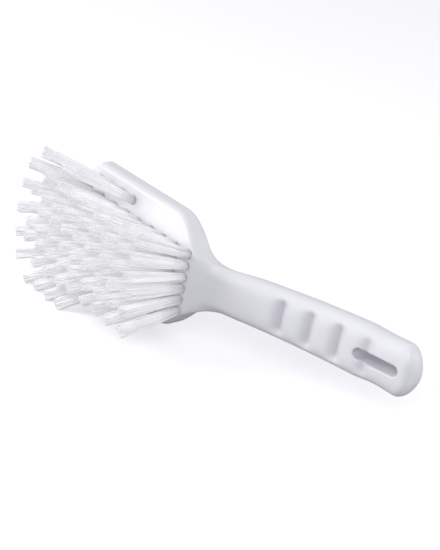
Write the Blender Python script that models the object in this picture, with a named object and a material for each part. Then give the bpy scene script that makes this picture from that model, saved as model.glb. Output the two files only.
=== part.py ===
# Churn brush: a one-piece moulded handle and head with separate tufts of stiff filament.
#
# Lengths are in metres. +X runs from the head to the end of the handle, the bristles point
# to -Y, and +Z is up with the brush lying on one side. The brush is the same on both sides
# of its middle plane. It is drawn with that plane at Z = 0, and X = 0 close behind the place
# where the head's sides begin to curve in, and is then set on the ground plane.

import bmesh
import bpy
from math import asin, atan, cos, pi, radians, sin, sqrt, tan
from mathutils import Matrix, Vector

# Head
head_width = 0.076
head_straight = 0.081          # X = 0 to the front end of the straight sides
front_bulge = 0.016            # how far the curved front stands beyond the straight sides
rim_height = 0.012
face_height = 0.016            # back of the head to the flat bristle face
face_width = 0.044
rim_radius = 0.0035            # rounding of the back edge
rim_lip_radius = 0.0012        # rounding between rim and sloping side
face_front_inset = 0.016       # front of the head to the front of the flat face

# Shoulders and neck, measured back from X = 0
shoulder_lead = 0.007          # the sides begin to curve in this far forward of X = 0
shoulder_run = 0.016
shoulder_drop = 0.0142         # how far each shoulder has come in after that run
shoulder_slope = 1.2
neck_place = 0.036             # narrowest part of the neck
neck_width = 0.0290
neck_end = 0.048
ridge_place = 0.019            # rear edge of the bristle face
ridge_slope = 1.4              # steepness of the neck's underside at that edge
back_rise_start = 0.014
back_rise_end = 0.054

# Handle
handle_reach = 0.1592          # X = 0 to the end of the handle
neck_rise = radians(22.5)      # the grip rises away from the bristle side, less and less
end_rise = radians(10.8)
neck_lift = 0.0101             # middle of the neck's end above the head's back
end_lift = 0.0401              # middle of the handle's end above the head's back
neck_thickness = 0.0165
grip_width = 0.0338
grip_thickness = 0.0195
grip_full_inset = 0.038        # handle's end to the place where the grip has its full size
waist_inset = 0.0235           # handle's end to the waist beside the hanging slot
waist_width = 0.0319
butt_inset = 0.0105            # handle's end to where it widens again
butt_width = 0.0334
side_rounding = 0.0097         # how far the end is rounded at its sides, back and underside
back_rounding = 0.0284
under_rounding = 0.0066
side_fullness = 1.8            # 2 would make the rounding an ellipse
back_fullness = 1.75
under_fullness = 2.2
squareness = 2.7               # 2 would make the grip's section an ellipse

# Finger grooves in the underside of the grip
groove_count = 4
groove_first = 0.0725
groove_last_inset = 0.0309     # handle's end to the last groove
groove_depth = 0.0034
groove_sharpness = 4           # higher makes the ridges between the grooves broader
groove_fade_start = radians(38)  # round the section from the side, the grooves set in here
groove_fade_end = radians(74)  # and have their full depth here

# Hanging slot through the end of the grip
slot_inset = 0.0252            # handle's end to the middle of the slot
slot_length = 0.030
slot_width = 0.0078

# Tufts
column_count = 6
column_pitch = 0.0076
row_count = 8
row_pitch = 0.0118
first_row_inset = 0.004        # rear edge of the face to the first row
narrow_rows = 1                # the frontmost rows leave out their outer columns
ring_count = 13
ring_place_share = 0.526       # outer column of tufts to the head's edge: place of the outer row
ring_rear = 0.043              # how far forward of the shoulders that row begins
rear_lean = radians(13)        # lean towards the front, at the rear row
front_lean = radians(36)       # and at the front of the head
side_fan = radians(25)         # lean to the side, at the outer row
hole_radius = 0.0029
hole_depth = 0.0085
hole_sides = 8
tuft_clearance = 0.0003
tuft_recess = 0.0006           # top of the packed root below the hole's mouth
column_trim = 0.040            # length of filament standing out of a hole
ring_trim = 0.042
strand_count = 8
strand_sides = 3
strand_radius = 0.00058
strand_root_spread = 0.00155
column_tip_spread = 0.0028
ring_tip_spread = 0.0024

# Mesh fineness and the overrun of every cut
overrun = 0.004
front_steps = 8
shoulder_steps = 12
grip_steps = 44
butt_steps = 6
slot_steps = 6
last_butt_share = 0.93
arc_start_share = 0.12
slope_span = 0.008             # stretch over which the grip's steepness is taken

body_color = (0.86, 0.86, 0.88, 1)
filament_color = (0.88, 0.89, 0.90, 1)

half_head = head_width / 2
half_face = face_width / 2
head_front = -(head_straight + front_bulge)
face_front = head_front + face_front_inset
side_slope = (face_height - rim_height) / (half_head - half_face)
front_arc_radius = (half_head ** 2 + front_bulge ** 2) / (2 * front_bulge)
front_arc_center = head_front + front_arc_radius
front_arc_angle = asin(half_head / front_arc_radius)
grip_full_place = handle_reach - grip_full_inset
groove_pitch = (handle_reach - groove_last_inset - groove_first) / (groove_count - 1)
slot_place = handle_reach - slot_inset
outer_column = (column_count - 1) / 2 * column_pitch
ring_side = outer_column + (half_head - outer_column) * ring_place_share
ring_inset = half_head - ring_side


def clearScene():
    for item in list(bpy.data.objects):
        bpy.data.objects.remove(item, do_unlink=True)


def plainMaterial(name, color, roughness):
    material = bpy.data.materials.new(name)
    material.use_nodes = True
    shader = material.node_tree.nodes["Principled BSDF"]
    shader.inputs["Base Color"].default_value = color
    shader.inputs["Roughness"].default_value = roughness
    shader.inputs["Metallic"].default_value = 0
    return material


def addObject(name, mesh, material):
    item = bpy.data.objects.new(name, mesh)
    bpy.context.collection.objects.link(item)
    if material and not mesh.materials:
        mesh.materials.append(material)
    return item


def meshFrom(name, bm):
    bmesh.ops.recalc_face_normals(bm, faces=bm.faces)
    mesh = bpy.data.meshes.new(name)
    bm.to_mesh(mesh)
    bm.free()
    return mesh


def blend(start, end, share):
    return start + (end - start) * share


def ease(share):
    share = min(max(share, 0), 1)
    return share * share * (3 - 2 * share)


def curveBetween(x, x0, y0, slope0, x1, y1, slope1):
    """Smooth curve through two points with a given slope at each."""
    run = x1 - x0
    t = (x - x0) / run
    rise = (2 * t ** 3 - 3 * t ** 2 + 1) * y0 + (3 * t ** 2 - 2 * t ** 3) * y1
    return rise + run * ((t ** 3 - 2 * t ** 2 + t) * slope0 + (t ** 3 - t ** 2) * slope1)


def gripShare(x):
    return ease((x - neck_end) / (grip_full_place - neck_end))


def endShare(x, rounding, fullness):
    """1 along the handle, falling to 0 at its very end."""
    share = min(max(1 - (handle_reach - x) / rounding, 0), 1)
    return (1 - share ** fullness) ** (1 / fullness)


def gripThickness(x):
    return blend(neck_thickness, grip_thickness, gripShare(x))


def gripMiddle(x):
    rises = tan(neck_rise), tan(end_rise)
    return curveBetween(x, neck_end, neck_lift, rises[0], handle_reach, end_lift, rises[1])


def gripSlope(x):
    """Steepness of the grip's middle line."""
    return (gripMiddle(x + slope_span / 2) - gripMiddle(x - slope_span / 2)) / slope_span


def halfWidth(x):
    """Half the width of the outline, seen from the bristle side."""
    shoulder = half_head - shoulder_drop
    neck = neck_width / 2
    if x < -head_straight:
        return sqrt(max(front_arc_radius ** 2 - (x - front_arc_center) ** 2, 0))
    if x < -shoulder_lead:
        return half_head
    if x < shoulder_run:
        return curveBetween(x, -shoulder_lead, half_head, 0, shoulder_run, shoulder, -shoulder_slope)
    if x < neck_place:
        return curveBetween(x, shoulder_run, shoulder, -shoulder_slope, neck_place, neck, 0)
    if x < grip_full_place:
        return blend(neck_width, grip_width, (x - neck_place) / (grip_full_place - neck_place)) / 2
    waist = handle_reach - waist_inset
    butt = handle_reach - butt_inset
    if x < waist:
        share = ease((x - grip_full_place) / (waist - grip_full_place))
        return blend(grip_width, waist_width, share) / 2
    width = blend(waist_width, butt_width, ease((x - waist) / (butt - waist)))
    return width / 2 * endShare(x, side_rounding, side_fullness)


def backHeight(x):
    """Y of the back of the brush on its middle plane."""
    if x < back_rise_start:
        return 0
    if x < back_rise_end:
        top = gripMiddle(back_rise_end) + gripThickness(back_rise_end) / 2
        slope = gripSlope(back_rise_end)
        return curveBetween(x, back_rise_start, 0, 0, back_rise_end, top, slope)
    half = gripThickness(x) / 2
    return gripMiddle(x) + half * endShare(x, back_rounding, back_fullness)


def faceDepth(x, z):
    """Distance from the head's back to its bristle side: flat, with sloping sides and front."""
    side = face_height - side_slope * max(abs(z) - half_face, 0)
    front = face_height - side_slope * max(face_front - x, 0)
    return min(side, front)


def undersideHeight(x):
    """Y of the bristle side of the brush on its middle plane."""
    if x < ridge_place:
        return -faceDepth(x, 0)
    if x < neck_end:
        bottom = gripMiddle(neck_end) - neck_thickness / 2
        rise = tan(neck_rise)
        return curveBetween(x, ridge_place, -face_height, ridge_slope, neck_end, bottom, rise)
    half = gripThickness(x) / 2
    return gripMiddle(x) - half * endShare(x, under_rounding, under_fullness)


def grooveDepth(x):
    last = groove_first + (groove_count - 1) * groove_pitch
    if x < groove_first - groove_pitch / 2 or x > last + groove_pitch / 2:
        return 0
    wave = cos(pi * (x - groove_first) / groove_pitch)
    return groove_depth * wave ** groove_sharpness


def headSection(x):
    """Half of the section through the head, from the middle of the back to the middle of the face."""
    wide = halfWidth(x)
    back = backHeight(x)
    under = undersideHeight(x)
    rim = max(-faceDepth(x, wide), under)
    edge = min(half_face + max(face_front - x, 0), wide - 2 * rim_lip_radius)
    edge_y = max(-faceDepth(x, edge), under)
    round_back = min(rim_radius, wide / 2)
    corner = 1 - cos(pi / 4)
    return [
        (0, back),
        ((wide - round_back) / 2, back),
        (wide - round_back, back),
        (wide - round_back * corner, back - round_back * corner),
        (wide, back - round_back),
        (wide, (back - round_back + rim + rim_lip_radius) / 2),
        (wide, rim + rim_lip_radius),
        (wide - rim_lip_radius * corner, rim + rim_lip_radius * corner),
        (wide - rim_lip_radius, blend(rim, edge_y, rim_lip_radius / (wide - edge))),
        ((wide + edge) / 2, (rim + edge_y) / 2),
        (edge, edge_y),
        (edge / 2, edge_y),
        (0, edge_y),
    ]


def gripSection(x):
    """Half of the section through the grip, with the same number of points."""
    points = []
    last = len(headSection(0)) - 1
    middle = (backHeight(x) + undersideHeight(x)) / 2
    tall = (backHeight(x) - undersideHeight(x)) / 2
    wide = halfWidth(x)
    for step in range(last + 1):
        angle = pi / 2 - pi * step / last
        out = abs(cos(angle)) ** (2 / squareness)
        up = abs(sin(angle)) ** (2 / squareness)
        z = wide * out if 0 < step < last else 0
        y = middle + tall * up * (1 if angle > 0 else -1)
        fade = ease((-angle - groove_fade_start) / (groove_fade_end - groove_fade_start))
        points.append((z, y + grooveDepth(x) * fade))
    return points


def bodySection(x):
    if x <= ridge_place:
        return headSection(x)
    share = ease((x - ridge_place) / (neck_end - ridge_place))
    if share == 1:
        return gripSection(x)
    pairs = zip(headSection(x), gripSection(x))
    return [(blend(a[0], b[0], share), blend(a[1], b[1], share)) for a, b in pairs]


def bodyStations():
    """Places along X where the skin has a section."""
    stations = [-head_straight, face_front, -shoulder_lead, ridge_place]
    for step in range(front_steps):
        share = blend(arc_start_share, 1, step / front_steps)
        stations.append(front_arc_center - front_arc_radius * cos(front_arc_angle * share))
    for step in range(1, shoulder_steps):
        stations.append(blend(-shoulder_lead, ridge_place, step / shoulder_steps))
        stations.append(blend(ridge_place, neck_end, step / shoulder_steps))
    butt = handle_reach - side_rounding
    for step in range(grip_steps + 1):
        stations.append(blend(neck_end, butt, step / grip_steps))
    for step in range(1, butt_steps + 1):
        turn = pi / 2 * last_butt_share * step / butt_steps
        stations.append(butt + side_rounding * sin(turn))
    return sorted(stations)


def loftBody():
    """One closed skin through all sections of head, neck and grip."""
    bm = bmesh.new()
    loops = []
    for x in bodyStations():
        half = bodySection(x)
        ring = [(x, y, z) for z, y in half]
        ring += [(x, y, -z) for z, y in reversed(half[1:-1])]
        verts = [bm.verts.new(point) for point in ring]
        loops.append([bm.edges.new((verts[i - 1], verts[i])) for i in range(len(verts))])
    for before, after in zip(loops, loops[1:]):
        bmesh.ops.bridge_loops(bm, edges=before + after)
    bmesh.ops.holes_fill(bm, edges=loops[0] + loops[-1])
    return meshFrom("handle_and_head", bm)


def tuftPlaces():
    """Name, x, z and filament length of every tuft."""
    places = []
    first = ridge_place - first_row_inset
    for row in range(row_count):
        skip = 1 if row >= row_count - narrow_rows else 0
        for column in range(skip, column_count - skip):
            z = (column - (column_count - 1) / 2) * column_pitch
            name = f"tuft_row{row + 1}_{column + 1}"
            places.append((name, first - row * row_pitch, z, column_trim))
    radius = front_arc_radius - ring_inset
    sweep = asin(ring_side / radius)
    corner = front_arc_center - radius * cos(sweep)
    straight = -ring_rear - corner
    length = 2 * (straight + radius * sweep)
    for step in range(ring_count):
        along = length * step / (ring_count - 1) - length / 2
        turn = along / radius
        x = front_arc_center - radius * cos(turn)
        z = radius * sin(turn)
        if abs(turn) > sweep:
            x = corner + abs(along) - radius * sweep
            z = ring_side if along > 0 else -ring_side
        places.append((f"tuft_ring_{step + 1:02d}", x, z, ring_trim))
    return places


def tuftMatrix(x, z):
    """Root of a tuft on the bristle side, with its own +Z along the filaments."""
    forward = (ridge_place - x) / (ridge_place - head_front)
    lean = tan(blend(rear_lean, front_lean, forward))
    fan = tan(side_fan) * z / ring_side
    along = Vector((-lean, -1, fan)).normalized()
    turn = along.to_track_quat("Z", "X")
    return Matrix.Translation((x, -faceDepth(x, z), z)) @ turn.to_matrix().to_4x4()


def addCylinder(bm, radius, low, high, sides, matrix):
    place = matrix @ Matrix.Translation((0, 0, (low + high) / 2))
    bmesh.ops.create_cone(bm, cap_ends=True, segments=sides, radius1=radius, radius2=radius,
                          depth=high - low, matrix=place)


def holeCutter(places):
    bm = bmesh.new()
    for name, x, z, trim in places:
        addCylinder(bm, hole_radius, -hole_depth, overrun, hole_sides, tuftMatrix(x, z))
    return addObject("hole_cutter", meshFrom("hole_cutter", bm), None)


def slotCutter():
    """Stadium outline, pushed through the thickness of the tilted grip."""
    bm = bmesh.new()
    radius = slot_width / 2
    reach = slot_length / 2 - radius
    verts = []
    for side in (1, -1):
        for step in range(slot_steps + 1):
            turn = pi * step / slot_steps - pi / 2
            verts.append(bm.verts.new((side * (reach + radius * cos(turn)), 0, side * radius * sin(turn))))
    face = bm.faces.new(verts)
    height = grip_thickness + 2 * overrun
    grown = bmesh.ops.extrude_face_region(bm, geom=[face])
    moved = [item for item in grown["geom"] if isinstance(item, bmesh.types.BMVert)]
    bmesh.ops.translate(bm, verts=moved, vec=(0, height, 0))
    bmesh.ops.translate(bm, verts=bm.verts, vec=(0, -height / 2, 0))
    cutter = addObject("slot_cutter", meshFrom("slot_cutter", bm), None)
    cutter.location = (slot_place, gripMiddle(slot_place), 0)
    cutter.rotation_euler = (0, 0, atan(gripSlope(slot_place)))
    return cutter


def cut(item, cutter):
    cutter.hide_render = True
    cutter.display_type = "WIRE"
    modifier = item.modifiers.new(cutter.name, "BOOLEAN")
    modifier.operation = "DIFFERENCE"
    modifier.solver = "EXACT"
    modifier.object = cutter


def tuftMesh(name, trim, tip_spread):
    """Filaments fanning out of a packed root that sits in its hole."""
    root_radius = hole_radius - tuft_clearance / cos(pi / hole_sides)
    low = -hole_depth + tuft_clearance
    bm = bmesh.new()
    addCylinder(bm, root_radius, low, -tuft_recess, hole_sides, Matrix())
    root = addObject(name + "_root", meshFrom(name + "_root", bm), None)
    bm = bmesh.new()
    for index in range(strand_count):
        around = 2 * pi * index / (strand_count - 1)
        spread = 0 if index == strand_count - 1 else 1
        start = Vector((cos(around), sin(around), 0)) * strand_root_spread * spread
        end = Vector((cos(around), sin(around), 0)) * tip_spread * spread
        end.z = trim
        start.z = -2 * tuft_recess
        turn = (end - start).to_track_quat("Z", "X").to_matrix().to_4x4()
        matrix = Matrix.Translation(start) @ turn @ Matrix.Rotation(around, 4, "Z")
        addCylinder(bm, strand_radius, 0, (end - start).length, strand_sides, matrix)
    strands = addObject(name + "_strands", meshFrom(name + "_strands", bm), None)
    modifier = root.modifiers.new("strands", "BOOLEAN")
    modifier.operation = "UNION"
    modifier.solver = "EXACT"
    modifier.object = strands
    shape = bpy.data.meshes.new_from_object(root.evaluated_get(bpy.context.evaluated_depsgraph_get()))
    shape.name = name
    bpy.data.objects.remove(strands, do_unlink=True)
    bpy.data.objects.remove(root, do_unlink=True)
    return shape


def lowestCorner(items):
    """Lower corner of the space that the items fill, and their upper corner."""
    bpy.context.view_layer.update()
    graph = bpy.context.evaluated_depsgraph_get()
    corners = []
    for item in items:
        ready = item.evaluated_get(graph)
        corners += [ready.matrix_world @ vertex.co for vertex in ready.data.vertices]
    low = Vector([min(corner[axis] for corner in corners) for axis in range(3)])
    high = Vector([max(corner[axis] for corner in corners) for axis in range(3)])
    return low, high


def main():
    clearScene()
    places = tuftPlaces()
    plastic = plainMaterial("moulded_plastic", body_color, 0.38)
    filament = plainMaterial("filament", filament_color, 0.3)

    body = addObject("handle_and_head", loftBody(), plastic)
    cutters = [holeCutter(places), slotCutter()]
    for cutter in cutters:
        cut(body, cutter)
    body.data.shade_smooth()
    body.data.set_sharp_from_angle(angle=radians(32))

    column_mesh = tuftMesh("column_tuft", column_trim, column_tip_spread)
    ring_mesh = tuftMesh("ring_tuft", ring_trim, ring_tip_spread)
    tufts = []
    for name, x, z, trim in places:
        tuft = addObject(name, ring_mesh if trim == ring_trim else column_mesh, filament)
        tuft.matrix_world = tuftMatrix(x, z)
        tufts.append(tuft)

    # Everything hangs on one empty, which sets the brush on the ground plane, centred.
    ground = bpy.data.objects.new("ground", None)
    bpy.context.collection.objects.link(ground)
    low, high = lowestCorner([body] + tufts)
    for item in [body] + cutters + tufts:
        item.parent = ground
    ground.location = (-(low.x + high.x) / 2, -(low.y + high.y) / 2, -low.z)
    bpy.context.view_layer.update()
    print("size in mm:", [round(1000 * side, 1) for side in high - low])
    print("origin shift in mm:", [round(1000 * side, 2) for side in ground.location])


main()
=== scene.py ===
import bmesh
import bpy
import random
from math import acos, asin, atan, cos, hypot, pi, radians, sin, sqrt, tan
from mathutils import Matrix, Vector
from mathutils.bvhtree import BVHTree


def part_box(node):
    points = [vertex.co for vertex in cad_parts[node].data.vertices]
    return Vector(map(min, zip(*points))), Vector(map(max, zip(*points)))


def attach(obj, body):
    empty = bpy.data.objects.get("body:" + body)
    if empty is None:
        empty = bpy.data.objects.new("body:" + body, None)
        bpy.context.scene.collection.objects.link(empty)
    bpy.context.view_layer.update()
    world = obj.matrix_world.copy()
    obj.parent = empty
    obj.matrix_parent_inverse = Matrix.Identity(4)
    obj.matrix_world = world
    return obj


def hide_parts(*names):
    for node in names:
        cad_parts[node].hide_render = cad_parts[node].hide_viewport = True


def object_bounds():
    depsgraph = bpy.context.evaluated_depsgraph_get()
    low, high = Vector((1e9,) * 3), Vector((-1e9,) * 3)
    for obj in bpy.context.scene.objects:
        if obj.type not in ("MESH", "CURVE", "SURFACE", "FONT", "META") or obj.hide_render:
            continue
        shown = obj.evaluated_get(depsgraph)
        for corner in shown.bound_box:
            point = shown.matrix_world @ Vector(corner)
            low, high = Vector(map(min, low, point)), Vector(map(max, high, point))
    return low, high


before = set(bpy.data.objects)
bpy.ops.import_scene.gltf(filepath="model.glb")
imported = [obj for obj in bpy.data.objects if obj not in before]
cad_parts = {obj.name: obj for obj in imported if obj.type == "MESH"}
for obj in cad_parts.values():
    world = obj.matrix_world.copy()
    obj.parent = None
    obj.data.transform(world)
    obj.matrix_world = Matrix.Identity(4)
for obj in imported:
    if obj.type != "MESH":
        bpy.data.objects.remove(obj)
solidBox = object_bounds()
print("solids loaded:", len(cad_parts))

# The moulding's sizes in metres. They are the solids' sizes, but the head's edges, the cove behind
# the ridge, the neck and the grooves are shaped more closely. X = 0 is just behind the head,
# Y = 0 the head's flat back, Z = 0 the middle plane; the bristles point to -Y.
moulding = {
    "headWidth": 0.076,
    "headStraight": 0.081,
    "frontBulge": 0.016,
    "rimHeight": 0.012,
    "faceHeight": 0.016,
    "faceWidth": 0.044,
    "rimRadius": 0.0035,
    "rimLipRadius": 0.0030,
    "faceFrontInset": 0.016,
    "shoulderLead": 0.007,
    "shoulderRun": 0.016,
    "shoulderDrop": 0.0142,
    "shoulderSlope": 1.2,
    "neckPlace": 0.036,
    "neckWidth": 0.0290,
    "neckEnd": 0.048,
    "ridgePlace": 0.019,
    "coveEnd": 0.030,            # from here on nothing of the head's section is left underneath
    "coveShare": 0.52,           # width of the flat underside in the cove behind the ridge
    "coveSquareness": 1.8,       # its sides are rounder than the grip's
    "coveFlatStep": 9.6,         # step of the section at which the flat underside begins
    "coveFadeStart": 0.032,      # the grip's own section takes over from here
    "coveFadeEnd": 0.058,
    "ridgeSlope": 1.4,
    "ridgeSoftness": 0.0011,     # how far the edge of the bristle face is rounded
    "backRiseStart": 0.014,
    "backRiseEnd": 0.054,
    "reach": 0.1592,
    "neckRise": radians(22.5),
    "endRise": radians(10.8),
    "neckLift": 0.0094,
    "endLift": 0.0401,
    "neckThickness": 0.0180,
    "gripWidth": 0.0338,
    "gripThickness": 0.0195,
    "gripFullInset": 0.038,
    "waistInset": 0.0235,
    "waistWidth": 0.0319,
    "buttInset": 0.0105,
    "buttWidth": 0.0334,
    "sideRounding": 0.0097,
    "backRounding": 0.0284,
    "underRounding": 0.0066,
    "sideFullness": 1.8,
    "backFullness": 1.75,
    "underFullness": 2.2,
    "squareness": 2.7,
    "underSquareness": 3.6,
    "underTaper": 0.15,          # how much narrower the grip gets towards the bristle side
    "slopeSpan": 0.008,          # stretch over which the grip's steepness is taken
    "grooveCount": 4,
    "grooveFirst": 0.0725,
    "grooveLastInset": 0.0309,
    "grooveDepth": 0.0038,
    "lastGrooveShare": 0.6,      # the groove that crosses the slot is this much as deep
    "grooveSharpness": 1.5,
    "grooveSoftness": 0.003,
    "grooveFadeStart": radians(38),   # the grooves run out towards both sides of the grip
    "grooveFadeEnd": radians(74),
    "seamHeight": 0.00012,       # fine parting line where the two halves of the mould met
    "spacing": 0.0009,           # between the sections of the skin
    "straightSpacing": 0.0054,   # and along the head's straight sides
    "frontSections": 24,
    "frontStartShare": 0.04,     # the first section is this share of the way along the front's arc
    "ridgeOffsets": (-0.0007, -0.00035, 0, 0.00035, 0.0007),   # more sections close to the ridge
    "buttSections": 14,
    "buttEndShare": 0.93,        # the last section is this share of the way round the handle's end
    "sharpAngle": radians(38),   # edges steeper than this stay crisp
}
headHalf = moulding["headWidth"] / 2
faceHalf = moulding["faceWidth"] / 2
headFront = -(moulding["headStraight"] + moulding["frontBulge"])
faceFront = headFront + moulding["faceFrontInset"]
sideSlope = (moulding["faceHeight"] - moulding["rimHeight"]) / (headHalf - faceHalf)
arcRadius = (headHalf ** 2 + moulding["frontBulge"] ** 2) / (2 * moulding["frontBulge"])
arcCenter = headFront + arcRadius
arcAngle = asin(headHalf / arcRadius)
gripFullPlace = moulding["reach"] - moulding["gripFullInset"]
grooveLast = moulding["reach"] - moulding["grooveLastInset"]
groovePitch = (grooveLast - moulding["grooveFirst"]) / (moulding["grooveCount"] - 1)

# The solids stand centred on the ground, so this is where the drawing's zero lies there.
bodyLow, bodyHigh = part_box("handle_and_head")
buttTrim = moulding["sideRounding"] * (1 - sin(pi / 2 * moulding["buttEndShare"]))
origin = Vector((
    bodyHigh.x - (moulding["reach"] - buttTrim),
    bodyLow.y + moulding["faceHeight"],
    (bodyLow.z + bodyHigh.z) / 2,
))
print("drawing zero at", [round(1000 * part, 2) for part in origin], "mm")


def mix(start, end, share):
    return start + (end - start) * share


def ease(share):
    share = min(max(share, 0), 1)
    return share * share * (3 - 2 * share)


def curveBetween(x, x0, y0, slope0, x1, y1, slope1):
    run = x1 - x0
    t = (x - x0) / run
    rise = (2 * t ** 3 - 3 * t ** 2 + 1) * y0 + (3 * t ** 2 - 2 * t ** 3) * y1
    return rise + run * ((t ** 3 - 2 * t ** 2 + t) * slope0 + (t ** 3 - t ** 2) * slope1)


def endShare(x, rounding, fullness):
    share = min(max(1 - (moulding["reach"] - x) / rounding, 0), 1)
    return (1 - share ** fullness) ** (1 / fullness)


def gripThickness(x):
    m = moulding
    share = ease((x - m["neckEnd"]) / (gripFullPlace - m["neckEnd"]))
    return mix(m["neckThickness"], m["gripThickness"], share)


def gripMiddle(x):
    m = moulding
    return curveBetween(x, m["neckEnd"], m["neckLift"], tan(m["neckRise"]),
                        m["reach"], m["endLift"], tan(m["endRise"]))


def gripSlope(x):
    near = moulding["slopeSpan"] / 2
    return (gripMiddle(x + near) - gripMiddle(x - near)) / (2 * near)


def halfWidth(x):
    m = moulding
    shoulder = headHalf - m["shoulderDrop"]
    neck = m["neckWidth"] / 2
    if x < -m["headStraight"]:
        return sqrt(max(arcRadius ** 2 - (x - arcCenter) ** 2, 0))
    if x < -m["shoulderLead"]:
        return headHalf
    if x < m["shoulderRun"]:
        return curveBetween(x, -m["shoulderLead"], headHalf, 0,
                            m["shoulderRun"], shoulder, -m["shoulderSlope"])
    if x < m["neckPlace"]:
        return curveBetween(x, m["shoulderRun"], shoulder, -m["shoulderSlope"],
                            m["neckPlace"], neck, 0)
    if x < gripFullPlace:
        share = (x - m["neckPlace"]) / (gripFullPlace - m["neckPlace"])
        return mix(m["neckWidth"], m["gripWidth"], share) / 2
    waist = m["reach"] - m["waistInset"]
    butt = m["reach"] - m["buttInset"]
    if x < waist:
        return mix(m["gripWidth"], m["waistWidth"], ease((x - gripFullPlace) / (waist - gripFullPlace))) / 2
    width = mix(m["waistWidth"], m["buttWidth"], ease((x - waist) / (butt - waist)))
    return width / 2 * endShare(x, m["sideRounding"], m["sideFullness"])


def backHeight(x):
    m = moulding
    if x < m["backRiseStart"]:
        return 0
    if x < m["backRiseEnd"]:
        top = gripMiddle(m["backRiseEnd"]) + gripThickness(m["backRiseEnd"]) / 2
        return curveBetween(x, m["backRiseStart"], 0, 0, m["backRiseEnd"], top, gripSlope(m["backRiseEnd"]))
    return gripMiddle(x) + gripThickness(x) / 2 * endShare(x, m["backRounding"], m["backFullness"])


def faceDepth(x, z):
    side = moulding["faceHeight"] - sideSlope * max(abs(z) - faceHalf, 0)
    front = moulding["faceHeight"] - sideSlope * max(faceFront - x, 0)
    return min(side, front)


def sharpUnderside(x):
    m = moulding
    if x < m["ridgePlace"]:
        return -faceDepth(x, 0)
    if x < m["neckEnd"]:
        bottom = gripMiddle(m["neckEnd"]) - m["neckThickness"] / 2
        return curveBetween(x, m["ridgePlace"], -m["faceHeight"], m["ridgeSlope"],
                            m["neckEnd"], bottom, tan(m["neckRise"]))
    return gripMiddle(x) - gripThickness(x) / 2 * endShare(x, m["underRounding"], m["underFullness"])


def undersideHeight(x):
    m = moulding
    if abs(x - m["ridgePlace"]) > 2 * m["ridgeSoftness"]:
        return sharpUnderside(x)
    places = [x + m["ridgeSoftness"] * step / 2 for step in (-2, -1, 0, 1, 2)]
    return sum(sharpUnderside(place) for place in places) / len(places)


def grooveShape(x):
    m = moulding
    if x < m["grooveFirst"] - groovePitch / 2 or x > grooveLast + groovePitch / 2:
        return 0
    wave = sqrt(sin(pi * (x - m["grooveFirst"]) / groovePitch) ** 2 + m["grooveSoftness"])
    return max(1 - wave, 0) ** m["grooveSharpness"]


def grooveDepth(x):
    isLast = x > grooveLast - groovePitch / 2
    return moulding["grooveDepth"] * grooveShape(x) * (moulding["lastGrooveShare"] if isLast else 1)


# Steps round half a section: 0 is the middle of the back, 6 the side, 12 the middle of the face.
# On the head 2 to 4 is the back's rounded edge, 6 to 8 the rim's lip and 8 to 10 the sloping side.
sectionSteps = [0, 0.5, 1, 1.5, 2, 2.25, 2.5, 2.75, 3, 3.25, 3.5, 3.75, 4, 4.33, 4.67, 5, 5.33, 5.67,
                5.9, 5.96, 6, 6.04, 6.1, 6.33, 6.67, 7, 7.33, 7.67, 8, 8.4, 8.8, 9.2, 9.6, 9.9, 10.08,
                10.4, 10.8, 11.2, 11.6, 12]


def headSection(x, step):
    m = moulding
    wide = halfWidth(x)
    back = backHeight(x)
    under = undersideHeight(x)
    lip = m["rimLipRadius"]
    inset = min(lip, wide / 3)   # the front's first sections are narrower than the lip
    rim = max(-faceDepth(x, wide), under)
    edge = min(faceHalf + max(faceFront - x, 0), wide - 2 * inset)
    edgeHeight = max(-faceDepth(x, edge), under)
    corner = min(m["rimRadius"], wide / 2)
    if step <= 2:
        return (wide - corner) * step / 2, back
    if step <= 4:
        turn = pi / 2 * (step - 2) / 2
        return wide - corner + corner * sin(turn), back - corner + corner * cos(turn)
    if step <= 6:
        return wide, mix(back - m["rimRadius"], rim + lip, (step - 4) / 2)
    lipEnd = mix(rim, edgeHeight, inset / (wide - edge))
    if step <= 8:
        turn = pi / 2 * (step - 6) / 2
        return wide - inset + inset * cos(turn), mix(rim + lip, lipEnd, sin(turn))
    if step <= 10:
        share = (step - 8) / 2
        return mix(wide - inset, edge, share), mix(lipEnd, edgeHeight, share)
    return edge * (12 - step) / 2, edgeHeight


# How far a rounded edge gives way at a point near the bulging front.
def frontRounding(x, z, radius):
    near = min(max(1 - (arcRadius - hypot(x - arcCenter, z)) / radius, 0), 1)
    return radius * (1 - sqrt(1 - near ** 2))


# The sections only graze the front, so its edges are rounded from the outline inwards.
def headPoint(x, step):
    m = moulding
    z, y = headSection(x, step)
    if x >= faceFront:
        return z, y
    if step <= 6:
        return z, min(y, -frontRounding(x, z, m["rimRadius"]))
    return z, max(y, frontRounding(x, z, m["rimLipRadius"]) - faceDepth(x, z))


def grooveFade(turn):
    m = moulding
    return ease((turn - m["grooveFadeStart"]) / (m["grooveFadeEnd"] - m["grooveFadeStart"]))


# The lower half of the section in the cove, one wide and one high.
def covePoint(step):
    m = moulding
    if step > m["coveFlatStep"]:
        return m["coveShare"] * (12 - step) / (12 - m["coveFlatStep"]), -1
    turn = pi / 2 * (step - 6) / (m["coveFlatStep"] - 6)
    power = 2 / m["coveSquareness"]
    return mix(m["coveShare"], 1, cos(turn) ** power), -sin(turn) ** power


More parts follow.
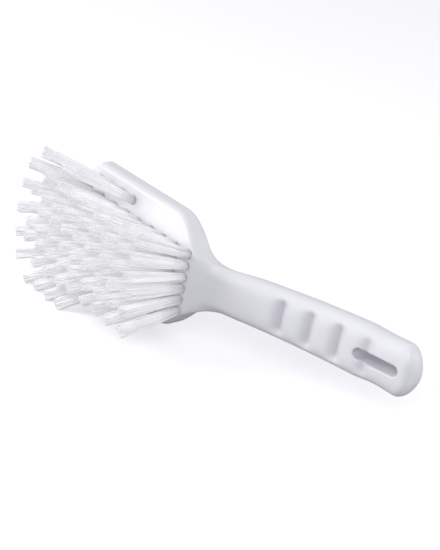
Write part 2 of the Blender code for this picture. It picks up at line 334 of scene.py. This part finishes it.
def gripPoint(x, step):
    turn = pi / 2 - pi * step / 12
    m = moulding
    power = 2 / m["underSquareness" if step > 6 else "squareness"]
    middle = (backHeight(x) + undersideHeight(x)) / 2
    tall = (backHeight(x) - undersideHeight(x)) / 2
    out = 0 if step in (0, 12) else abs(cos(turn)) ** power
    up = abs(sin(turn)) ** power * (1 if turn > 0 else -1)
    if step > 6:
        run = ease((x - m["coveFadeStart"]) / (m["coveFadeEnd"] - m["coveFadeStart"]))
        coveOut, coveUp = covePoint(step)
        out = mix(coveOut, out * (1 - m["underTaper"] * up ** 2), run)
        up = mix(coveUp, up, run)
    return halfWidth(x) * out, middle + tall * up + grooveDepth(x) * grooveFade(-turn)


def skinPoint(x, step):
    m = moulding
    end = mix(m["neckEnd"], m["coveEnd"], ease((step - 4) / 4))
    share = ease((x - m["ridgePlace"]) / (end - m["ridgePlace"]))
    z, y = headPoint(x, step) if share < 1 else gripPoint(x, step)
    if 0 < share < 1:
        gripZ, gripY = gripPoint(x, step)
        z, y = mix(z, gripZ, share), mix(y, gripY, share)
    if step == 6:
        z += m["seamHeight"]
    return z, y


def skinPlaces():
    m = moulding
    count = m["frontSections"]
    turns = [arcAngle * mix(m["frontStartShare"], 1, step / count) for step in range(count + 1)]
    places = [arcCenter - arcRadius * cos(turn) for turn in turns]
    places += [faceFront, -m["shoulderLead"]]
    count = int((m["headStraight"] - m["shoulderLead"]) / m["straightSpacing"])
    places += [mix(-m["headStraight"], -m["shoulderLead"], step / count) for step in range(1, count)]
    butt = m["reach"] - m["sideRounding"]
    count = int((butt + m["shoulderLead"]) / m["spacing"])
    places += [mix(-m["shoulderLead"], butt, step / count) for step in range(count + 1)]
    places += [m["ridgePlace"] + offset for offset in m["ridgeOffsets"]]
    count = m["buttSections"]
    turns = [pi / 2 * m["buttEndShare"] * step / count for step in range(1, count + 1)]
    places += [butt + m["sideRounding"] * sin(turn) for turn in turns]
    return sorted(set(round(place, 6) for place in places))


def loftSkin():
    bm = bmesh.new()
    loops = []
    for x in skinPlaces():
        half = [skinPoint(x, step) for step in sectionSteps]
        outline = half + [(-z, y) for z, y in reversed(half[1:-1])]
        ring = bmesh.ops.create_circle(bm, segments=len(outline), radius=1)["verts"]
        for vert, (z, y) in zip(ring, outline):
            vert.co = origin + Vector((x, y, z))
        loops.append(list({edge for vert in ring for edge in vert.link_edges}))
    for before, after in zip(loops, loops[1:]):
        bmesh.ops.bridge_loops(bm, edges=before + after)
    bmesh.ops.holes_fill(bm, edges=loops[0] + loops[-1])
    bmesh.ops.recalc_face_normals(bm, faces=bm.faces)
    return bm


hangingSlot = {
    "endInset": 0.0252,
    "length": 0.030,
    "width": 0.0072,
    "segments": 36,
    "castStart": 0.04,           # rays that find the skin start this far from the handle's middle
    "shadeDepth": 0.003,         # the slot's painted shade is at its darkest from here down
    "shadeMargin": 0.0001,       # what is this close to the slot's wall belongs to it
    # how far the rim has grown outwards, at each depth below the skin
    "rimGrowth": [(0.0008, -0.003), (0.0008, -0.00005), (0.0005, 0.00005), (0.0003, 0.00016),
                  (0.00013, 0.00035), (0.00004, 0.00058), (0, 0.0009)],
}


def slotFrame():
    place = moulding["reach"] - hangingSlot["endInset"]
    tilt = atan(gripSlope(place))
    center = origin + Vector((place, gripMiddle(place), 0))
    return center, Vector((-sin(tilt), cos(tilt), 0)), Vector((cos(tilt), sin(tilt), 0))


# A long round-ended shape whose rims follow the skin and open out softly towards it.
def slotCutter(skin):
    s = hangingSlot
    center, through, along = slotFrame()
    reach = (s["length"] - s["width"]) / 2
    tree = BVHTree.FromBMesh(skin)
    bm = bmesh.new()
    loops = []
    for way, levels in ((1, s["rimGrowth"]), (-1, reversed(s["rimGrowth"]))):
        for growth, depth in levels:
            radius = s["width"] / 2 + growth
            ring = bmesh.ops.create_circle(bm, segments=s["segments"], radius=radius)["verts"]
            for vert in ring:
                side = reach if vert.co.x > 0 else -reach
                spot = center + along * (vert.co.x + side) + Vector((0, 0, vert.co.y))
                hit = tree.ray_cast(spot - through * way * s["castStart"], through * way)[0]
                vert.co = hit + through * way * depth
            loops.append(list({edge for vert in ring for edge in vert.link_edges}))
    for before, after in zip(loops, loops[1:]):
        bmesh.ops.bridge_loops(bm, edges=before + after)
    bmesh.ops.holes_fill(bm, edges=loops[0] + loops[-1])
    bmesh.ops.recalc_face_normals(bm, faces=bm.faces)
    return bm


tufting = {
    "columnCount": 6,
    "columnPitch": 0.0076,
    "rowCount": 8,
    "rowPitch": 0.0118,
    "firstRowInset": 0.004,
    "narrowRows": 1,
    "ringCount": 13,
    "ringPlaceShare": 0.526,
    "ringRear": 0.043,
    "extraPlaces": ((-0.0785, 0.0038), (-0.0785, 0.0114), (-0.0695, 0.0195)),   # each on both sides
    "rearLean": radians(13),
    "frontLean": radians(36),
    "sideFan": radians(25),
    "holeRadius": 0.0029,
    "holeDepth": 0.0085,
    "holeOverrun": 0.004,        # how far the cutter stands out of a hole's mouth
    "holeSegments": 20,
    "columnTrim": 0.040,
    "ringTrim": 0.042,
    "columnTip": 0.0038,         # spread of the filaments at their tips
    "ringTip": 0.0029,
    "filaments": 84,
    "filamentRadius": 0.00028,
    "filamentSides": 5,
    "alongShares": (0, 1 / 6, 1 / 3, 1 / 2, 0.791367, 0.988, 1),   # rings of points on a filament
    "bluntShare": 0.6,           # width of its tip
    "rootDepth": 0.0022,         # where it begins, below the mouth of its hole
    "spiralTurn": 2.39996,       # from one filament to the next, round the tuft
    "spiralJitter": 0.15,
    "filamentShade": 0.94,       # the darkest filament of a clump
    "clumps": 7,                 # filaments that lean together
    "clumpShade": 0.92,          # the darkest clump
    "clumpDrift": 0.0006,
    "clumpTrim": 0.0012,
    "tuftDrift": 0.0010,         # how far the whole tip may stand out of line
    "packedRadius": 0.00262,     # spread of the filaments where they leave their hole
    "bow": 0.0005,               # how far a filament bends out of line on its way
    "scatter": 0.00030,          # how far its tip strays within the tuft
    "strayShare": 0.07,          # filaments that have strayed further
    "strayScatter": 0.0011,
    "raggedness": 0.0016,        # how unevenly the tips are trimmed
    "seed": 7,
}
outerColumn = (tufting["columnCount"] - 1) / 2 * tufting["columnPitch"]
ringSide = outerColumn + (headHalf - outerColumn) * tufting["ringPlaceShare"]
ringInset = headHalf - ringSide


def tuftPlaces():
    t = tufting
    places = []
    first = moulding["ridgePlace"] - t["firstRowInset"]
    for row in range(t["rowCount"]):
        skip = 1 if row >= t["rowCount"] - t["narrowRows"] else 0
        for column in range(skip, t["columnCount"] - skip):
            z = (column - (t["columnCount"] - 1) / 2) * t["columnPitch"]
            places.append((f"tuft_row{row + 1}_{column + 1}", first - row * t["rowPitch"], z, False))
    radius = arcRadius - ringInset
    sweep = asin(ringSide / radius)
    corner = arcCenter - radius * cos(sweep)
    length = 2 * (-t["ringRear"] - corner + radius * sweep)
    for step in range(t["ringCount"]):
        run = length * step / (t["ringCount"] - 1) - length / 2
        turn = run / radius
        x = arcCenter - radius * cos(turn)
        z = radius * sin(turn)
        if abs(turn) > sweep:
            x = corner + abs(run) - radius * sweep
            z = ringSide if run > 0 else -ringSide
        places.append((f"tuft_ring_{step + 1:02d}", x, z, True))
    for index, (x, z) in enumerate(t["extraPlaces"]):
        places += [(f"extra_{index + 1}_left", x, z, False), (f"extra_{index + 1}_right", x, -z, False)]
    return places


def tuftMatrix(x, z):
    t = tufting
    forward = (moulding["ridgePlace"] - x) / (moulding["ridgePlace"] - headFront)
    lean = tan(mix(t["rearLean"], t["frontLean"], forward))
    fan = tan(t["sideFan"]) * z / ringSide
    turn = Vector((-lean, -1, fan)).normalized().to_track_quat("Z", "X").to_matrix().to_4x4()
    return Matrix.Translation(origin + Vector((x, -faceDepth(x, z), z))) @ turn


def holeCutter():
    t = tufting
    bm = bmesh.new()
    for name, x, z, inRing in tuftPlaces():
        low, high = -t["holeDepth"], t["holeOverrun"]
        place = tuftMatrix(x, z) @ Matrix.Translation((0, 0, (low + high) / 2))
        bmesh.ops.create_cone(bm, cap_ends=True, segments=t["holeSegments"], radius1=t["holeRadius"],
                              radius2=t["holeRadius"], depth=high - low, matrix=place)
    return bm


def meshObject(name, bm, materials=()):
    mesh = bpy.data.meshes.new(name)
    bm.to_mesh(mesh)
    bm.free()
    item = bpy.data.objects.new(name, mesh)
    bpy.context.scene.collection.objects.link(item)
    for material in materials:
        mesh.materials.append(material)
    return item


# Painted shade in the hollows: 0 on the open skin, up to 1 at the bottom of a finger groove and inside the
# slot.
def paintedShadeShare(point):
    m = moulding
    s = hangingSlot
    place = point - origin
    x = place.x
    share = 0
    if m["neckEnd"] < x < m["reach"] and place.y < gripMiddle(x):
        out = min(abs(place.z) / halfWidth(x), 1)
        fade = grooveFade(acos(out ** (m["squareness"] / 2)))
        share = plasticFinish["grooveShade"] * grooveShape(x) * fade
    center, through, along = slotFrame()
    offset = point - center
    beyond = max(abs(offset.dot(along)) - (s["length"] - s["width"]) / 2, 0)
    if hypot(beyond, place.z) < s["width"] / 2 + s["shadeMargin"]:
        depth = m["gripThickness"] / 2 - abs(offset.dot(through))
        share = max(share, min(max(depth / s["shadeDepth"], 0), 1))
    return share


# No point of the dressed brush stands outside the box of its solids.
def keepInside(item):
    low, high = solidBox
    for vert in item.data.vertices:
        vert.co = [min(max(value, low[axis]), high[axis]) for axis, value in enumerate(vert.co)]


def cutAway(item, cutters):
    for cutter in cutters:
        modifier = item.modifiers.new(cutter.name, "BOOLEAN")
        modifier.operation = "DIFFERENCE"
        modifier.solver = "EXACT"
        modifier.object = cutter
    ready = item.evaluated_get(bpy.context.evaluated_depsgraph_get())
    shape = bpy.data.meshes.new_from_object(ready)
    item.modifiers.clear()
    item.data = shape
    for cutter in cutters:
        bpy.data.objects.remove(cutter, do_unlink=True)


def addNode(tree, kind, place, **values):
    node = tree.nodes.new(kind)
    node.location = place
    for name, value in values.items():
        setattr(node, name, value)
    return node


variationSettings = {
    "cloudDetail": 3,
    "grainDetail": 2,
    "cloudMiddle": 0.5,          # cloud value at which the roughness is as set
}


# Node group: soft cloudiness, fine grain and the roughness that goes with them.
def surfaceVariation():
    v = variationSettings
    group = bpy.data.node_groups.new("surfaceVariation", "ShaderNodeTree")
    sockets = group.interface
    for name in ("Cloud Scale", "Grain Scale", "Roughness", "Range"):
        sockets.new_socket(name, in_out="INPUT", socket_type="NodeSocketFloat")
    for name in ("Cloud", "Grain", "Roughness"):
        sockets.new_socket(name, in_out="OUTPUT", socket_type="NodeSocketFloat")
    start = addNode(group, "NodeGroupInput", (-700, 0))
    end = addNode(group, "NodeGroupOutput", (500, 0))
    where = addNode(group, "ShaderNodeTexCoord", (-700, 250))
    cloud = addNode(group, "ShaderNodeTexNoise", (-400, 250))
    grain = addNode(group, "ShaderNodeTexNoise", (-400, -50))
    cloud.inputs["Detail"].default_value = v["cloudDetail"]
    grain.inputs["Detail"].default_value = v["grainDetail"]
    spread = addNode(group, "ShaderNodeMath", (-120, 100), operation="SUBTRACT")
    spread.inputs[1].default_value = v["cloudMiddle"]
    ranged = addNode(group, "ShaderNodeMath", (60, 100), operation="MULTIPLY")
    rough = addNode(group, "ShaderNodeMath", (240, 100), operation="ADD", use_clamp=True)
    link = group.links.new
    link(where.outputs["Object"], cloud.inputs["Vector"])
    link(where.outputs["Object"], grain.inputs["Vector"])
    link(start.outputs["Cloud Scale"], cloud.inputs["Scale"])
    link(start.outputs["Grain Scale"], grain.inputs["Scale"])
    link(cloud.outputs[0], spread.inputs[0])
    link(spread.outputs[0], ranged.inputs[0])
    link(start.outputs["Range"], ranged.inputs[1])
    link(ranged.outputs[0], rough.inputs[0])
    link(start.outputs["Roughness"], rough.inputs[1])
    link(cloud.outputs[0], end.inputs["Cloud"])
    link(grain.outputs[0], end.inputs["Grain"])
    link(rough.outputs[0], end.inputs["Roughness"])
    return group


# Places the group in a material, with that material's own values.
def addVariation(tree, variation, finish, place):
    group = addNode(tree, "ShaderNodeGroup", place, node_tree=variation)
    for name, key in (("Cloud Scale", "cloudScale"), ("Grain Scale", "grainScale"),
                      ("Roughness", "roughness"), ("Range", "roughnessRange")):
        group.inputs[name].default_value = finish[key]
    return group


def newMaterial(name):
    material = bpy.data.materials.new(name)
    material.use_nodes = True
    tree = material.node_tree
    return material, tree, tree.nodes["Principled BSDF"]


plasticFinish = {
    "light": (0.84, 0.84, 0.86, 1),
    "dark": (0.79, 0.79, 0.82, 1),
    "roughness": 0.36,
    "roughnessRange": 0.16,
    "cloudScale": 22,
    "grainScale": 1400,
    "grainDepth": 0.00004,
    "grainStrength": 0.35,
    "glow": 0.15,                # share of light that goes into the plastic
    "glowColor": (1.0, 1.0, 1.1),
    "glowDepth": 0.003,
    "lightBending": 1.49,
    # painted shade, multiplied into the colour in the grooves and inside the slot
    "paintedShadeTint": (0.76, 0.73, 0.77, 1),
    "cavityRoughness": 0.16,     # grooves and slot are less polished by the hand
    "grooveShade": 0.9,          # the grooves take this much of the painted shade and the added roughness, the slot all
}


def satinPlastic(variation):
    p = plasticFinish
    material, tree, shader = newMaterial("satin_polypropylene")
    group = addVariation(tree, variation, p, (-700, 0))
    tint = addNode(tree, "ShaderNodeMix", (-350, 150), data_type="RGBA")
    tint.inputs[6].default_value = p["dark"]
    tint.inputs[7].default_value = p["light"]
    bump = addNode(tree, "ShaderNodeBump", (-350, -200))
    bump.inputs["Strength"].default_value = p["grainStrength"]
    bump.inputs["Distance"].default_value = p["grainDepth"]
    # Painted shade: the mask darkens the colour in the grooves and the slot, and also makes them rougher.
    paintedShade = addNode(tree, "ShaderNodeAttribute", (-700, 400), attribute_name="paintedShade")
    shade = addNode(tree, "ShaderNodeMix", (-150, 250), data_type="RGBA", blend_type="MULTIPLY")
    shade.inputs[7].default_value = p["paintedShadeTint"]
    dull = addNode(tree, "ShaderNodeMath", (-350, 0), operation="MULTIPLY_ADD")
    dull.inputs[1].default_value = p["cavityRoughness"]
    link = tree.links.new
    link(group.outputs["Cloud"], tint.inputs[0])
    link(paintedShade.outputs["Fac"], shade.inputs[0])
    link(tint.outputs[2], shade.inputs[6])
    link(shade.outputs[2], shader.inputs["Base Color"])
    link(paintedShade.outputs["Fac"], dull.inputs[0])
    link(group.outputs["Roughness"], dull.inputs[2])
    link(dull.outputs[0], shader.inputs["Roughness"])
    link(group.outputs["Grain"], bump.inputs["Height"])
    link(bump.outputs["Normal"], shader.inputs["Normal"])
    shader.inputs["Subsurface Weight"].default_value = p["glow"]
    shader.inputs["Subsurface Radius"].default_value = p["glowColor"]
    shader.inputs["Subsurface Scale"].default_value = p["glowDepth"]
    shader.inputs["IOR"].default_value = p["lightBending"]
    return material


filamentFinish = {
    # painted shade: the filaments darken towards their roots, where the tufts shade them
    "root": (0.70, 0.70, 0.73, 1),
    "shaft": (0.97, 0.97, 0.98, 1),
    "shaftShares": (0.36, 0.9),  # where the shaft's colour begins and ends
    # painted shade: the tips are greyer, standing in for the clear tips giving back less light
    "tip": (0.88, 0.88, 0.90, 1),
    "roughness": 0.42,
    "roughnessRange": 0.2,
    "cloudScale": 160,
    "grainScale": 2500,
    "lightBending": 1.53,
    "paintedGlow": 0.135,       # painted glow of the filaments, standing in for light that the clear filaments pass on to each other
}


def stiffFilament(variation):
    f = filamentFinish
    material, tree, shader = newMaterial("white_filament")
    group = addVariation(tree, variation, f, (-900, -100))
    along = addNode(tree, "ShaderNodeAttribute", (-900, 250), attribute_name="along")
    tone = addNode(tree, "ShaderNodeAttribute", (-900, 450), attribute_name="tone")
    # Painted shade along each filament: darker at the root and greyer at the tip.
    ramp = addNode(tree, "ShaderNodeValToRGB", (-650, 250))
    stops = ramp.color_ramp.elements
    stops[0].position, stops[0].color = 0.0, f["root"]
    stops[1].position, stops[1].color = 1.0, f["tip"]
    for place in f["shaftShares"]:
        stops.new(place).color = f["shaft"]
    shade = addNode(tree, "ShaderNodeMix", (-300, 250), data_type="RGBA", blend_type="MULTIPLY")
    shade.inputs[0].default_value = 1
    link = tree.links.new
    link(along.outputs["Fac"], ramp.inputs[0])
    link(ramp.outputs[0], shade.inputs[6])
    link(tone.outputs["Color"], shade.inputs[7])
    link(shade.outputs[2], shader.inputs["Base Color"])
    # Painted glow: the filaments emit their own shaded colour.
    link(shade.outputs[2], shader.inputs["Emission Color"])
    link(group.outputs["Roughness"], shader.inputs["Roughness"])
    shader.inputs["Emission Strength"].default_value = f["paintedGlow"]
    shader.inputs["IOR"].default_value = f["lightBending"]
    return material


def makeMoulding(material):
    skin = loftSkin()
    slot = slotCutter(skin)
    body = meshObject("moulded_handle_and_head", skin, [material])
    cutAway(body, [meshObject("slotShape", slot), meshObject("holeShapes", holeCutter())])
    body.data.materials.clear()
    body.data.materials.append(material)
    body.data.shade_smooth()
    body.data.set_sharp_from_angle(angle=moulding["sharpAngle"])
    keepInside(body)
    # Mask of the painted shade in the grooves and the slot.
    paintedShade = body.data.attributes.new("paintedShade", "FLOAT", "POINT")
    paintedShade.data.foreach_set("value", [paintedShadeShare(vert.co) for vert in body.data.vertices])
    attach(body, "root")
    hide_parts("handle_and_head")
    print("moulding:", len(body.data.polygons), "faces")


# One straight filament, 1 long and 1 in radius, with a blunt rounded tip.
def filamentTemplate():
    t = tufting
    last = len(t["alongShares"]) - 1
    bm = bmesh.new()
    bmesh.ops.create_cone(bm, cap_ends=True, segments=t["filamentSides"], radius1=1, radius2=1, depth=1,
                          matrix=Matrix.Translation((0, 0, 0.5)))
    long = [edge for edge in bm.edges if abs(edge.verts[0].co.z - edge.verts[1].co.z) > 0.5]
    bmesh.ops.subdivide_edges(bm, edges=long, cuts=last - 1)
    mesh = bpy.data.meshes.new("filament")
    bm.to_mesh(mesh)
    bm.free()
    for vert in mesh.vertices:
        ring = round(vert.co.z * last)
        vert.co.z = t["alongShares"][ring]
        if ring == last:
            vert.co.x *= t["bluntShare"]
            vert.co.y *= t["bluntShare"]
    return mesh


def makeTuft(name, x, z, inRing, template, material, chance):
    t = tufting
    matrix = tuftMatrix(x, z)
    trim = t["ringTrim"] if inRing else t["columnTrim"]
    tip = t["ringTip"] if inRing else t["columnTip"]
    bm = bmesh.new()
    alongLayer = bm.verts.layers.float.new("along")
    toneLayer = bm.verts.layers.float_color.new("tone")
    drift = Vector((chance.uniform(-1, 1), chance.uniform(-1, 1), 0)) * t["tuftDrift"]
    clumps = [(drift + Vector((chance.gauss(0, t["clumpDrift"]), chance.gauss(0, t["clumpDrift"]), 0)),
               chance.gauss(0, t["clumpTrim"]), chance.uniform(t["clumpShade"], 1))
              for step in range(t["clumps"])]
    count = t["filaments"]
    for index in range(count):
        share = sqrt((index + 0.5) / count)
        angle = index * t["spiralTurn"] + chance.uniform(-t["spiralJitter"], t["spiralJitter"])
        lean, cut, shade = clumps[int(angle / (2 * pi) * t["clumps"]) % t["clumps"]]
        out = Vector((cos(angle), sin(angle), 0))
        start = out * share * t["packedRadius"]
        scatter = t["strayScatter"] if chance.random() < t["strayShare"] else t["scatter"]
        end = out * share * tip + Vector((chance.gauss(0, scatter), chance.gauss(0, scatter), 0)) + lean
        low = -t["rootDepth"]
        length = trim - abs(cut + chance.gauss(0, t["raggedness"])) - low
        bow = Vector((chance.gauss(0, t["bow"]), chance.gauss(0, t["bow"]), 0))
        tone = shade * chance.uniform(t["filamentShade"], 1)
        known = len(bm.verts)
        bm.from_mesh(template)
        bm.verts.ensure_lookup_table()
        for vert in bm.verts[known:]:
            share = vert.co.z
            radius = t["filamentRadius"]
            middle = start.lerp(end, share) + bow * sin(pi * share)
            vert[alongLayer] = share
            vert[toneLayer] = (tone, tone, tone, 1)
            vert.co = matrix @ Vector((middle.x + vert.co.x * radius, middle.y + vert.co.y * radius,
                                       low + length * share))
    bmesh.ops.recalc_face_normals(bm, faces=bm.faces)
    tuft = meshObject("bristles_" + name, bm, [material])
    tuft.data.shade_smooth()
    keepInside(tuft)
    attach(tuft, "root")
    if name.startswith("tuft"):
        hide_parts(name)
    return tuft


def makeTufts(material):
    chance = random.Random(tufting["seed"])
    template = filamentTemplate()
    tufts = [makeTuft(name, x, z, inRing, template, material, chance)
             for name, x, z, inRing in tuftPlaces()]
    print("tufts:", len(tufts), "with", sum(len(tuft.data.polygons) for tuft in tufts), "faces")


# The floor looks pale, but throws little light back at the brush, as a dark-lined light tent does.
studio = {
    "floorSize": 6.0,
    "floorRoughness": 0.9,
    "floorColor": (0.93, 0.93, 0.94, 1),
    "floorReturn": (0.34, 0.34, 0.36, 1),
    "floorLift": 0.30,           # brightness that the floor has of its own
    "skyColor": (0.94, 0.94, 1.0, 1),
    "skyStrength": 0.57,
    "backdropColor": (0.97, 0.97, 0.98, 1),
    "aim": (-0.02, 0.0, 0.04),
    "lamps": {                   # place, size, power
        "key": ((-0.98, -1.20, 0.56), 0.8, 14),
        "front": ((0.92, -0.94, 0.92), 0.9, 7.4),
        "rim": ((1.25, 0.85, 0.60), 0.9, 4.5),
    },
}


def areaLight(name, place, size, power):
    light = bpy.data.lights.new(name, "AREA")
    light.shape = "DISK"
    light.size = size
    light.energy = power
    lamp = bpy.data.objects.new(name, light)
    lamp.location = place
    lamp.rotation_euler = (Vector(studio["aim"]) - Vector(place)).to_track_quat("-Z", "Y").to_euler()
    lamp.visible_camera = False
    bpy.context.scene.collection.objects.link(lamp)


def paleFloor():
    s = studio
    material, tree, shader = newMaterial("pale_floor")
    rays = addNode(tree, "ShaderNodeLightPath", (-700, 0))
    color = addNode(tree, "ShaderNodeMix", (-400, 100), data_type="RGBA")
    color.inputs[6].default_value = s["floorReturn"]
    color.inputs[7].default_value = s["floorColor"]
    lift = addNode(tree, "ShaderNodeMath", (-400, -200), operation="MULTIPLY")
    lift.inputs[1].default_value = s["floorLift"]
    shader.inputs["Roughness"].default_value = s["floorRoughness"]
    shader.inputs["Emission Color"].default_value = (1, 1, 1, 1)
    tree.links.new(rays.outputs["Is Camera Ray"], color.inputs[0])
    tree.links.new(rays.outputs["Is Camera Ray"], lift.inputs[0])
    tree.links.new(color.outputs[2], shader.inputs["Base Color"])
    tree.links.new(lift.outputs[0], shader.inputs["Emission Strength"])
    return material


def softSky():
    s = studio
    world = bpy.data.worlds.new("studio")
    world.use_nodes = True
    tree = world.node_tree
    sky = tree.nodes["Background"]
    sky.inputs["Color"].default_value = s["skyColor"]
    sky.inputs["Strength"].default_value = s["skyStrength"]
    backdrop = addNode(tree, "ShaderNodeBackground", (0, -200))
    backdrop.inputs["Color"].default_value = s["backdropColor"]
    rays = addNode(tree, "ShaderNodeLightPath", (0, 400))
    pick = addNode(tree, "ShaderNodeMixShader", (250, 100))
    tree.links.new(rays.outputs["Is Camera Ray"], pick.inputs[0])
    tree.links.new(sky.outputs[0], pick.inputs[1])
    tree.links.new(backdrop.outputs[0], pick.inputs[2])
    tree.links.new(pick.outputs[0], tree.nodes["World Output"].inputs["Surface"])
    bpy.context.scene.world = world


def makeStudio():
    bm = bmesh.new()
    bmesh.ops.create_grid(bm, x_segments=4, y_segments=4, size=studio["floorSize"] / 2)
    meshObject("floor", bm, [paleFloor()])
    softSky()
    for name, (place, size, power) in studio["lamps"].items():
        areaLight(name, place, size, power)
    bpy.context.scene.view_settings.view_transform = "Standard"
    print("studio ready")


# The camera stands where a camera fitted to the photograph stands, in the drawing's metres.
view = {
    "place": (0.58897, -0.59369, 0.37641),
    "turn": (radians(65.2986), radians(-10.7760), radians(48.2543)),
    "focalPixels": 1500,
    "frameHeight": 550,
    "sensorSize": 36,
    "nearest": 0.05,             # nothing closer to the camera is seen
}


def makeCamera():
    camera = bpy.data.cameras.new("camera")
    camera.sensor_width = view["sensorSize"]
    camera.lens = view["focalPixels"] / view["frameHeight"] * view["sensorSize"]
    camera.clip_start = view["nearest"]
    holder = bpy.data.objects.new("camera", camera)
    holder.location = origin + Vector(view["place"])
    holder.rotation_euler = view["turn"]
    bpy.context.scene.collection.objects.link(holder)
    bpy.context.scene.camera = holder
    print("camera ready")


makeCamera()
makeStudio()
variation = surfaceVariation()
makeMoulding(satinPlastic(variation))
makeTufts(stiffFilament(variation))

bpy.context.view_layer.update()
